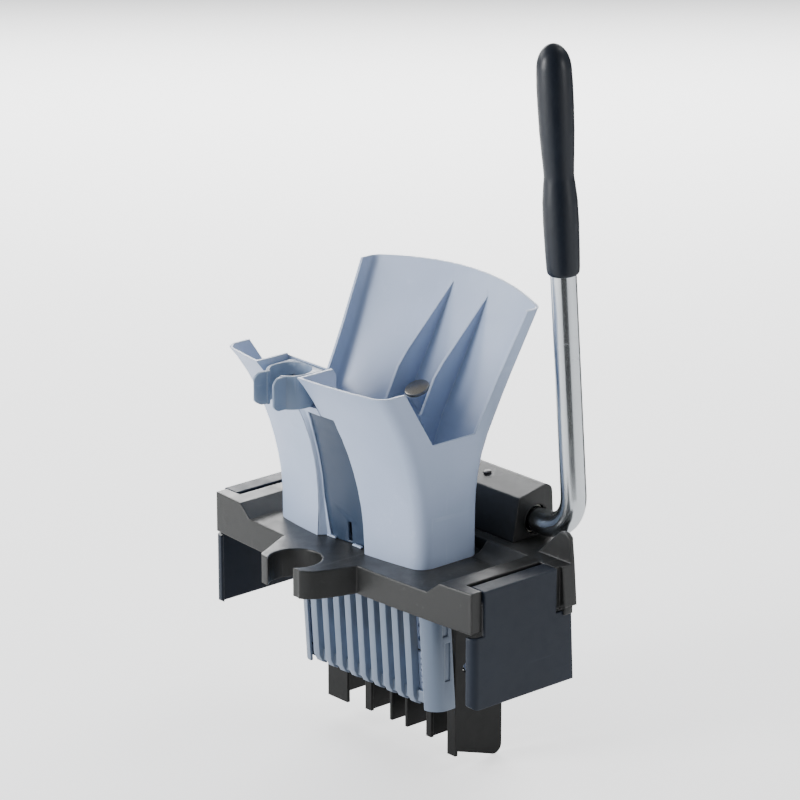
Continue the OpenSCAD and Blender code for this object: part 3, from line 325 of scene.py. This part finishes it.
# Name, colour, the deeper tone of its mottle, the tone of worn places, and how it differs from plain plastic
MOULDED = [
    ("plate_dark", rgb(35, 36, 36), rgb(31, 32, 32), rgb(96, 97, 96),
     dict(rough=0.36, pits=1300.0, pit_depth=0.00005, dusty=0.05, shine=0.42, rounded=0.0024)),
    # The cage's dark grey, darkened further as painted shade for its fins in the shadow of the plate and basket.
    ("cage_dark", rgb(17, 18, 18), rgb(14, 15, 15), rgb(62, 63, 63),
     dict(rough=0.44, pits=1300.0, pit_depth=0.00005, dusty=0.04, shine=0.26)),
    ("light_blue", rgb(171, 186, 214), rgb(164, 180, 208), rgb(214, 224, 240),
     dict(rough=0.34, pits=1700.0, pit_depth=0.00002, dusty=0.06, dust=PALE_DUST, scuffed=0.12, coat=0.06,
          reach=0.0016, rounded=0.0010)),
    ("slate", rgb(126, 144, 170), rgb(118, 136, 162), rgb(168, 184, 206),
     dict(rough=0.36, pits=1700.0, pit_depth=0.00002, dusty=0.05, rounded=0.0009)),
    # A darker copy of slate for the channel's insert: painted shade, for the shade deep in the channel.
    ("slate_painted_shade", rgb(50, 65, 87), rgb(45, 59, 80), rgb(84, 100, 124),
     dict(rough=0.34, pits=1700.0, pit_depth=0.00002, dusty=0.02, scuffed=0.1, rounded=0.0009)),
    # The basket's blue: less saturated than the funnel's, and darker as painted shade for the shadow of the plate
    # above it.
    ("basket_blue_painted_shade", rgb(112, 126, 146), rgb(106, 119, 139), rgb(170, 183, 202),
     dict(rough=0.36, pits=1700.0, pit_depth=0.00002, dusty=0.05, dust=PALE_DUST, scuffed=0.1, coat=0.05,
          reach=0.0014)),
    ("navy", rgb(29, 37, 50), rgb(26, 33, 45), rgb(66, 78, 94),
     dict(rough=0.44, pits=1600.0, dusty=0.02, shine=0.28, scuffed=0.08, rounded=0.0022)),
    ("grip", rgb(22, 29, 40), rgb(19, 25, 35), rgb(50, 60, 72),
     dict(rough=0.36, pits=2400.0, pit_depth=0.00002, dusty=0.03, shine=0.36, scuffed=0.2, reach=0.002)),
    ("nylon", rgb(226, 223, 213), rgb(214, 210, 198), rgb(238, 236, 230),
     dict(rough=0.36, pits=2200.0, pit_depth=0.00001, scuffed=0.1)),
    ("black_rubber", rgb(32, 32, 32), rgb(26, 26, 27), rgb(62, 62, 62),
     dict(rough=0.62, pits=2600.0, pit_depth=0.00005, shine=0.35)),
    ("black_plastic", rgb(36, 36, 38), rgb(30, 30, 32), rgb(76, 76, 78),
     dict(rough=0.4, pits=1900.0, shine=0.4)),
]

# Name, colour, the tone of stains, and how it differs from plain metal
METALS = [
    ("tube_metal", (0.73, 0.77, 0.80, 1.0), (0.56, 0.60, 0.64, 1.0),
     dict(rough=0.16, lines=(1.0, 1.0, 0.03), line_count=700.0, line_depth=0.000006, spotted=0.35)),
    ("steel", (0.60, 0.60, 0.59, 1.0), (0.42, 0.41, 0.39, 1.0),
     dict(rough=0.32, line_count=1400.0)),
    ("stud_metal", (0.40, 0.375, 0.335, 1.0), (0.28, 0.26, 0.23, 1.0),
     dict(rough=0.30, line_count=1500.0, line_depth=0.00001, spotted=0.5)),
]


def all_finishes():
    build_groups()
    made = {name: moulded(name, *tones, **ways) for name, *tones, ways in MOULDED}
    made.update({name: metal(name, *tones, **ways) for name, *tones, ways in METALS})
    return made


# Hand tools. Lengths are in metres here, except in a standing sheet

# Points closer than this are one point: in a CAD mesh, in a coil, and where edges have been rounded
SAME_CAD_POINT = 0.00002
SAME_COIL_POINT = 0.00001
SAME_EDGE_POINT = 0.000004

# Edges shorter than this are taken out where edges have been rounded
NO_LENGTH = 0.000002

# Placed points of a standing sheet wait this far above the others until all are placed
WAITING_HEIGHT = 5.0


def take(piece):
    if bpy.context.mode != "OBJECT":
        bpy.ops.object.mode_set(mode="OBJECT")
    bpy.ops.object.select_all(action="DESELECT")
    piece.select_set(True)
    bpy.context.view_layer.objects.active = piece


def open_up(piece):
    """Go into the piece's mesh with all of it selected."""
    take(piece)
    bpy.ops.object.mode_set(mode="EDIT")
    bpy.ops.mesh.select_all(action="SELECT")


def close_up(outwards=False):
    """Leave the mesh that is open, with all its faces turned outwards if asked."""
    if outwards:
        bpy.ops.mesh.select_all(action="SELECT")
        bpy.ops.mesh.normals_make_consistent(inside=False)
    bpy.ops.object.mode_set(mode="OBJECT")


def freeze(piece):
    """Put the piece's place, turn and size into its mesh."""
    take(piece)
    bpy.ops.object.transform_apply(location=True, rotation=True, scale=True)


def modify(piece, kind, **settings):
    take(piece)
    change = piece.modifiers.new("work", kind)
    for label, value in settings.items():
        setattr(change, label, value)
    bpy.ops.object.modifier_apply(modifier=change.name)


def round_off(piece, width, corner=35.0):
    """Round the edges that turn by more than the corner's degrees."""
    modify(piece, "BEVEL", width=width, segments=2, limit_method="ANGLE", angle_limit=math.radians(corner),
           use_clamp_overlap=True)


def cut(piece, tool):
    """Take the tool's form out of the piece, and the tool away."""
    modify(piece, "BOOLEAN", operation="DIFFERENCE", object=tool, solver="EXACT")
    bpy.data.objects.remove(tool)


def choose(piece, kind, test):
    """Open the piece with only those points or faces selected whose middle passes the test."""
    take(piece)
    bpy.ops.object.mode_set(mode="EDIT")
    bpy.ops.mesh.select_mode(type=kind)
    bpy.ops.mesh.select_all(action="DESELECT")
    bpy.ops.object.mode_set(mode="OBJECT")
    if kind == "VERT":
        for point in piece.data.vertices:
            point.select = test(point.co)
    else:
        for face in piece.data.polygons:
            face.select = test(face.center)
    bpy.ops.object.mode_set(mode="EDIT")


def dress(piece, finish):
    piece.data.materials.clear()
    piece.data.materials.append(finish)


def hand_in(piece, node, finish=None, instead=False, smooth=35.0, flat_faces=False):
    """Finish a piece that belongs with a CAD node, or is seen instead of it."""
    slot = slot_of[node]
    take(piece)
    bpy.ops.object.shade_smooth_by_angle(angle=math.radians(smooth))
    if flat_faces:
        modify(piece, "WEIGHTED_NORMAL", keep_sharp=True, weight=90)
    dress(piece, finishes[finish or slot])
    if instead:
        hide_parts(node)
    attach(piece, body_of_node[node])


def carried_over(node, name, edge, finish=None, smooth=32.0, flat_faces=False, flatten=0.6, trim=None):
    """Copy a CAD node, round its edges and hand it in. Angles are in degrees."""
    piece = bpy.data.objects.new(name, nodes[node].data.copy())
    bpy.context.scene.collection.objects.link(piece)
    open_up(piece)
    bpy.ops.mesh.remove_doubles(threshold=SAME_CAD_POINT)
    bpy.ops.mesh.dissolve_limited(angle_limit=math.radians(flatten), use_dissolve_boundaries=False)
    close_up()
    if piece.data.has_custom_normals:
        bpy.ops.mesh.customdata_custom_splitnormals_clear()
    if trim:
        trim(piece)
    if edge:
        round_off(piece, edge, corner=40.0)
        open_up(piece)
        bpy.ops.mesh.remove_doubles(threshold=SAME_EDGE_POINT)
        bpy.ops.mesh.dissolve_degenerate(threshold=NO_LENGTH)
        close_up()
    hand_in(piece, node, finish, instead=True, smooth=smooth, flat_faces=flat_faces)


def block(name, low, high):
    """A box between two corners."""
    size = [high[axis] - low[axis] for axis in range(3)]
    middle = [(high[axis] + low[axis]) / 2.0 for axis in range(3)]
    bpy.ops.object.select_all(action="DESELECT")
    bpy.ops.mesh.primitive_cube_add(size=1.0, location=middle, scale=size)
    piece = bpy.context.object
    piece.name = name
    freeze(piece)
    return piece


def standing_sheet(name, levels):
    """A sheet that stands up. Each level gives its height and its points (x, y), all in millimetres."""
    rows, columns = len(levels) - 1, len(levels[0][1]) - 1
    near = 0.2 / max(rows, columns)
    bpy.ops.object.select_all(action="DESELECT")
    bpy.ops.mesh.primitive_grid_add(x_subdivisions=columns, y_subdivisions=rows, size=1.0)
    piece = bpy.context.object
    piece.name = name
    for row, (height, places) in enumerate(levels):
        for column, (x, y) in enumerate(places):
            start = Vector((column / columns - 0.5, row / rows - 0.5, 0.0))
            place = Vector((x / 1000.0, y / 1000.0, height / 1000.0))
            choose(piece, "VERT", lambda point: (point - start).length < near)
            bpy.ops.transform.translate(value=place + Vector((0.0, 0.0, WAITING_HEIGHT)) - start)
    close_up()
    piece.location = (0.0, 0.0, -WAITING_HEIGHT)
    freeze(piece)
    return piece


def fill_to(piece, axis, push, plane):
    """Make a sheet solid: push its faces along an axis and flatten them at a plane across that axis."""
    move, keep, centre = Vector(), Vector((1.0, 1.0, 1.0)), Vector()
    move[axis], keep[axis], centre[axis] = push, 0.0, plane
    choose(piece, "FACE", lambda middle: True)
    bpy.ops.mesh.extrude_region_move(TRANSFORM_OT_translate={"value": tuple(move)})
    bpy.ops.transform.resize(value=keep, center_override=centre)
    close_up(outwards=True)


# Lines of the channel between the funnel's lobes, in millimetres

FRONT = [(3.0, -59.8), (20.0, -60.0), (30.0, -60.3), (40.0, -61.3), (50.0, -62.5), (60.0, -64.1), (70.0, -66.2),
         (80.0, -68.7), (90.0, -71.7), (100.0, -75.2), (110.0, -79.3), (120.0, -84.0), (130.0, -89.6), (134.0, -91.8)]
INSERT_LEFT = [(3.0, -35.0), (22.0, -40.0), (44.0, -44.5), (82.0, -43.0), (104.0, -37.0), (125.5, -29.0)]
INSERT_DEPTH = [(3.0, 8.6), (20.0, 7.4), (43.0, 6.2), (80.0, 5.6), (110.0, 5.6), (125.0, 4.4)]
INSERT_SLANT = [(3.0, 3.5), (100.0, 3.5), (118.0, 0.4)]
CHANNEL_RIGHT = [(-1.0, 15.0), (40.0, 13.0), (80.0, 10.0), (121.0, 7.0)]
CHANNEL_LEVELS = (3.2, 20.0, 40.0, 60.0, 80.0, 100.0, 114.0, 125.5)
BAND_LEVELS = (101.0, 106.0, 111.0, 116.0, 121.0, 126.6, 130.0, 133.8)


def between(steps, at):
    """Read a value off the straight lines through steps of (place, value)."""
    for (start, first), (stop, last) in zip(steps, steps[1:]):
        if at <= stop:
            return first + (last - first) * max(at - start, 0.0) / (stop - start)
    return steps[-1][1]


def front_line(x, z):
    """How far forward the funnel's front wall stands. It falls back to both sides of x = -15.5."""
    return between(FRONT, z) + 0.00113 * (x + 15.5) ** 2


def channel_left(z):
    """The channel's left wall leans in by 9 over a height of 122."""
    return -47.0 + 9.0 * (z + 1.0) / 122.0


# Insert of the channel, its lip and light strips, and the band over it

def channel_insert():
    """The insert that closes the channel, with its small slot, in a copy of slate painted darker as shade."""
    levels = []
    for z in CHANNEL_LEVELS:
        y = front_line(-20.0, z) + between(INSERT_DEPTH, z)
        left = between(INSERT_LEFT, z)
        right = between(CHANNEL_RIGHT, z) - 0.4
        levels.append((z, [(left, y), (left + 9.0, y - 0.3), (right, y + between(INSERT_SLANT, z))]))
    panel = standing_sheet("channel_insert", levels)
    modify(panel, "SOLIDIFY", thickness=0.0022, offset=-1.0)
    cut(panel, block("slot_cut", (-0.0150, -0.070, 0.0052), (-0.0112, -0.030, 0.0225)))
    round_off(panel, 0.0005)
    # The insert takes the darker copy of slate, which is painted shade.
    hand_in(panel, "channel_panel", "slate_painted_shade", instead=True)


def channel_lip():
    """The left lobe's edge, turned in to the insert and back behind it."""
    levels = []
    for z in CHANNEL_LEVELS:
        wall = channel_left(z) + 0.3
        y = front_line(wall, z)
        deep = y + between(INSERT_DEPTH, z) - 1.2
        edge = min(max(between(INSERT_LEFT, z) + 0.2, wall + 2.5), wall + 9.5)
        bend = (wall + 0.5 * (edge - wall), deep - 0.4)
        levels.append((z, [(wall, y + 0.4), bend, (edge, deep - 0.8), (edge, deep + 1.4)]))
    lip = standing_sheet("channel_lip", levels)
    modify(lip, "SOLIDIFY", thickness=0.0012, offset=-1.0)
    round_off(lip, 0.0005)
    hand_in(lip, "funnel", smooth=60.0)


def channel_sills():
    """The two light strips at the channel's foot."""
    for number, (left, right) in enumerate([(-0.0410, -0.0300), (-0.0075, 0.0035)]):
        sill = block(f"channel_sill_{number}", (left, -0.0537, 0.0031), (right, -0.0505, 0.0049))
        round_off(sill, 0.0006)
        hand_in(sill, "funnel")


def band_front():
    """Solid front of the band under the clip, level with the two lobes' faces and open over the channel."""
    levels = []
    for z in BAND_LEVELS:
        wall = channel_left(min(z, 120.0)) - 0.3
        levels.append((z, [(x, front_line(x, z)) for x in (-63.9, -51.0, wall, -23.0, -8.1)]))
    band = standing_sheet("band_front", levels)
    open_from, open_below = channel_left(120.0) / 1000.0 - 0.0005, 0.1264
    choose(band, "FACE", lambda middle: middle.z < open_below and middle.x > open_from)
    bpy.ops.mesh.delete(type="FACE")
    fill_to(band, axis=1, push=0.03, plane=-0.0728)
    hand_in(band, "funnel")


def raise_channel_top(funnel):
    """The channel runs on up to the clip's band, as far as the insert does."""
    cut(funnel, block("channel_top", (-0.0085, -0.097, 0.1190), (0.0074, -0.0772, 0.1266)))


def channel_hood():
    """Closes the funnel's inside behind the raised top of the channel."""
    hood = block("channel_hood", (-0.0100, -0.0803, 0.1180), (0.0097, -0.0743, 0.1290))
    choose(hood, "VERT", lambda point: point.z > 0.12 and point.y < -0.079)
    bpy.ops.transform.translate(value=(0.0, -0.0053, 0.0))
    close_up()
    cut(hood, block("hood_notch", (-0.0130, -0.097, 0.1150), (0.0074, -0.0775, 0.1266)))
    round_off(hood, 0.0003)
    hand_in(hood, "funnel")


# Small forms of the plate and the basket

def floor_ramp():
    """Ramp that lifts the sunken floor to the rear deck in a curve, its right side leaning out as it rises."""
    curve = [(4.0, 3.0), (9.0, 3.7), (13.0, 5.4), (17.0, 8.4), (20.0, 11.6), (22.6, 14.0)]
    ramp = standing_sheet("floor_ramp", [(z, [(79.2, y), (116.5 + (z - 3.0) * 1.2, y)]) for y, z in curve])
    fill_to(ramp, axis=2, push=-0.02, plane=0.0024)
    hand_in(ramp, "base_plate", smooth=40.0)


def foot_lip():
    """A lip under the upright wall's foot."""
    lip = block("foot_lip", (0.1590, 0.0262, -0.0290), (0.1703, 0.0358, -0.0215))
    round_off(lip, 0.0008)
    hand_in(lip, "base_plate")


def window_floors():
    """Shallow floors in the long slots of the basket's two ends."""
    low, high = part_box("drain_basket")
    middle = (low.x + high.x) / 2.0
    inset, thick, deep = 0.0026, 0.0015, 0.0078
    slots = ((-0.1048, -0.0682, -0.0240), (-0.0638, -0.0402, -0.0268))
    for side, wall in (("left", low.x + inset), ("right", high.x - inset)):
        inner, outer = sorted((wall, wall + math.copysign(thick, wall - middle)))
        for number, (bottom, top, front) in enumerate(slots):
            floor = block(f"slot_floor_{side}_{number}", (inner, front, bottom), (outer, front + deep, top))
            round_off(floor, 0.0004)
            # The slot floors take the basket's blue, darkened as painted shade.
            hand_in(floor, "drain_basket", "basket_blue_painted_shade")


# Springs, wound from round wire

TURNS = 8
STEPS_IN_A_TURN = 20
SIDES_OF_WIRE = 8


def coil(name, node, axis, wire_radius):
    """Wind a spring in the CAD node's box, by screwing a round section along the axis."""
    low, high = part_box(node)
    start, end = (low + high) / 2.0, (low + high) / 2.0
    start[axis], end[axis] = low[axis] + wire_radius, high[axis] - wire_radius
    radius = (high.z - low.z) / 2.0 - wire_radius
    reach = end - start
    bpy.ops.object.select_all(action="DESELECT")
    bpy.ops.mesh.primitive_circle_add(vertices=SIDES_OF_WIRE, radius=wire_radius, location=(radius, 0.0, 0.0),
                                      rotation=(math.pi / 2.0, 0.0, 0.0))
    piece = bpy.context.object
    piece.name = name
    freeze(piece)
    modify(piece, "SCREW", angle=2.0 * math.pi, screw_offset=reach.length / TURNS, iterations=TURNS,
           steps=STEPS_IN_A_TURN, render_steps=STEPS_IN_A_TURN, axis="Z", use_normal_calculate=True)
    piece.rotation_euler = reach.to_track_quat("Z", "Y").to_euler()
    piece.location = start
    freeze(piece)
    open_up(piece)
    bpy.ops.mesh.remove_doubles(threshold=SAME_COIL_POINT)
    bpy.ops.mesh.fill_holes(sides=2 * SIDES_OF_WIRE)
    close_up(outwards=True)
    hand_in(piece, node, instead=True, smooth=60.0)


def springs():
    """The return spring round the shaft, and the short springs on the flaps' pins."""
    coil("return_coil", "return_spring", axis=0, wire_radius=0.0012)
    for side in ("left", "right"):
        coil(f"hinge_spring_{side}", f"latch_spring_{side}", axis=1, wire_radius=0.0008)


# Studio

# Name, place, width and height in metres, and power in watts
LIGHTS = [
    ("window_front", (-0.95, -2.3, 0.6), 0.9, 1.1, 74.0),
    ("window_left", (-2.3, -1.0, 1.3), 1.2, 1.2, 26.0),
    ("window_right", (2.3, 0.9, 0.6), 0.8, 1.2, 14.0),
    ("window_back", (-1.95, 1.7, 0.78), 2.4, 1.0, 95.0),
    ("window_above", (0.2, 1.5, 2.0), 1.3, 0.9, 21.0),
]
LIGHTS_AIM = (0.0, 0.0, 0.1)

# Dark cards round the lever tube: bearing in degrees, turning from the front to the right, and width in metres
CARDS = [(47.6, 0.42), (186.6, 0.22)]
CARDS_MIDDLE = (0.147, 0.06, 1.05)
CARDS_AWAY = 0.42
CARDS_HEIGHT = 2.4


def soft_light(name, place, width, height, power):
    lamp = bpy.data.lights.new(name, "AREA")
    lamp.shape = "RECTANGLE"
    lamp.size = width
    lamp.size_y = height
    lamp.energy = power
    holder = bpy.data.objects.new(name, lamp)
    bpy.context.scene.collection.objects.link(holder)
    direction = Vector(LIGHTS_AIM) - Vector(place)
    holder.rotation_euler = direction.to_track_quat("-Z", "Y").to_euler()
    holder.location = place
    holder.visible_camera = False


def flat_stage(name, finish, width, height, place, turn=(0.0, 0.0, 0.0)):
    """A flat piece of the studio, which is no part of the object."""
    bpy.ops.object.select_all(action="DESELECT")
    bpy.ops.mesh.primitive_plane_add(size=1.0)
    piece = bpy.context.object
    piece.name = name
    piece.scale = (width, height, 1.0)
    piece.rotation_euler = turn
    piece.location = place
    freeze(piece)
    dress(piece, finish)
    return piece


def dark_card(name, bearing, width, finish):
    """A tall dark card, seen only in the metal's shine, as a studio uses to draw lines on chrome."""
    away = Vector((math.sin(math.radians(bearing)), -math.cos(math.radians(bearing)), 0.0))
    card = flat_stage(name, finish, width, CARDS_HEIGHT, Vector(CARDS_MIDDLE) + away * CARDS_AWAY,
                      (-away).to_track_quat("Z", "Y").to_euler())
    card.visible_camera = False
    card.visible_diffuse = False
    card.visible_shadow = False


def studio(low):
    """White floor just under the object, pale air round it, the lights and the cards."""
    paper, tree, skin = blank("studio_paper")
    shade = noise(tree, object_place(tree), scale=3.0)
    wire(tree, tint(tree, shade, (0.93, 0.93, 0.93, 1.0), (0.95, 0.95, 0.95, 1.0)), skin["Base Color"])
    skin["Roughness"].default_value = 0.9
    skin["Emission Color"].default_value = (1.0, 1.0, 1.0, 1.0)
    seen = tree.nodes.new("ShaderNodeLightPath").outputs["Is Camera Ray"]
    wire(tree, math_step(tree, "MULTIPLY", seen, 0.98), skin["Emission Strength"])
    flat_stage("studio_floor", paper, 40.0, 40.0, (0.0, 0.0, low - 0.0005))
    sky = bpy.data.worlds.new("studio_air")
    sky.use_nodes = True
    air = sky.node_tree.nodes["Background"].inputs
    air["Color"].default_value = (0.94, 0.97, 1.0, 1.0)
    air["Strength"].default_value = 0.36
    bpy.context.scene.world = sky
    for light in LIGHTS:
        soft_light(*light)
    paint, tree, skin = blank("card_paint")
    shade = noise(tree, object_place(tree), scale=6.0)
    wire(tree, tint(tree, shade, (0.03, 0.03, 0.03, 1.0), (0.05, 0.05, 0.05, 1.0)), skin["Base Color"])
    skin["Roughness"].default_value = 0.95
    for number, (bearing, width) in enumerate(CARDS):
        dark_card(f"dark_card_{number}", bearing, width, paint)


# Pieces that keep a CAD node's form: the node, the piece's name, and how round its edges are, in metres
PARTS = [
    ("base_plate", "plate_moulding", 0.0009),
    ("press_cage", "cage_moulding", 0.0006),
    ("funnel", "funnel_shell", 0.0007),
    ("drain_basket", "basket_moulding", 0.0007),
    ("drain_sheet", "drain_sheet_metal", 0.0),
    ("handle_clip", "clip_moulding", 0.0006),
    ("clip_screws", "clip_screw_pair", 0.0002),
    ("scoop_stud", "scoop_disc", 0.0004),
    ("lever_housing", "shaft_cover", 0.0009),
    ("housing_screws", "cover_screw_set", 0.0002),
    ("oil_plug", "oil_cap", 0.0004),
    ("lever_tube", "lever_steel", 0.0003),
    ("lever_grip", "hand_grip", 0.0008),
    ("tube_plug", "tube_end_cap", 0.0003),
    ("shaft_bush_right", "bush_right", 0.0004),
    ("shaft_bush_left", "bush_left", 0.0004),
    ("shaft_collar_right", "collar_right", 0.0004),
    ("shaft_collar_left", "collar_left", 0.0004),
    ("collar_screws", "collar_grub_screws", 0.0),
    ("cam_left", "pushing_cam_left", 0.0005),
    ("cam_right", "pushing_cam_right", 0.0005),
    ("cam_pins", "cam_pin_pair", 0.0002),
    ("press_plate", "press_moulding", 0.0006),
    ("press_facing", "press_face_sheet", 0.0),
    ("guide_pins", "guide_pin_set", 0.0003),
    ("latch_left", "latch_flap_left", 0.0008),
    ("latch_right", "latch_flap_right", 0.0008),
    ("latch_pin_left", "hinge_pin_left", 0.0002),
    ("latch_pin_right", "hinge_pin_right", 0.0002),
    ("rim_pads", "rim_pad_set", 0.0002),
    ("stop_buffers", "stop_buffer_pair", 0.0004),
    ("funnel_screws", "funnel_screw_pair", 0.0002),
    ("cage_screws", "cage_screw_set", 0.0002),
    ("basket_screws", "basket_screw_set", 0.0002),
]

# What else differs from the usual way of carrying a node over
WAYS = {
    "base_plate": dict(flat_faces=True),
    "press_cage": dict(flat_faces=True),
    "funnel": dict(smooth=36.0, flatten=0.05, trim=raise_channel_top),
    # The basket takes its blue, darkened as painted shade for the plate's shadow.
    "drain_basket": dict(finish="basket_blue_painted_shade"),
    "lever_housing": dict(flat_faces=True),
    "latch_left": dict(flat_faces=True),
    "latch_right": dict(flat_faces=True),
}


place_camera()
finishes = all_finishes()
channel_insert()
channel_lip()
channel_sills()
band_front()
floor_ramp()
foot_lip()
channel_hood()
window_floors()
springs()
for node, name, edge in PARTS:
    carried_over(node, name, edge, **WAYS.get(node, {}))
studio(cad_box[0][2])
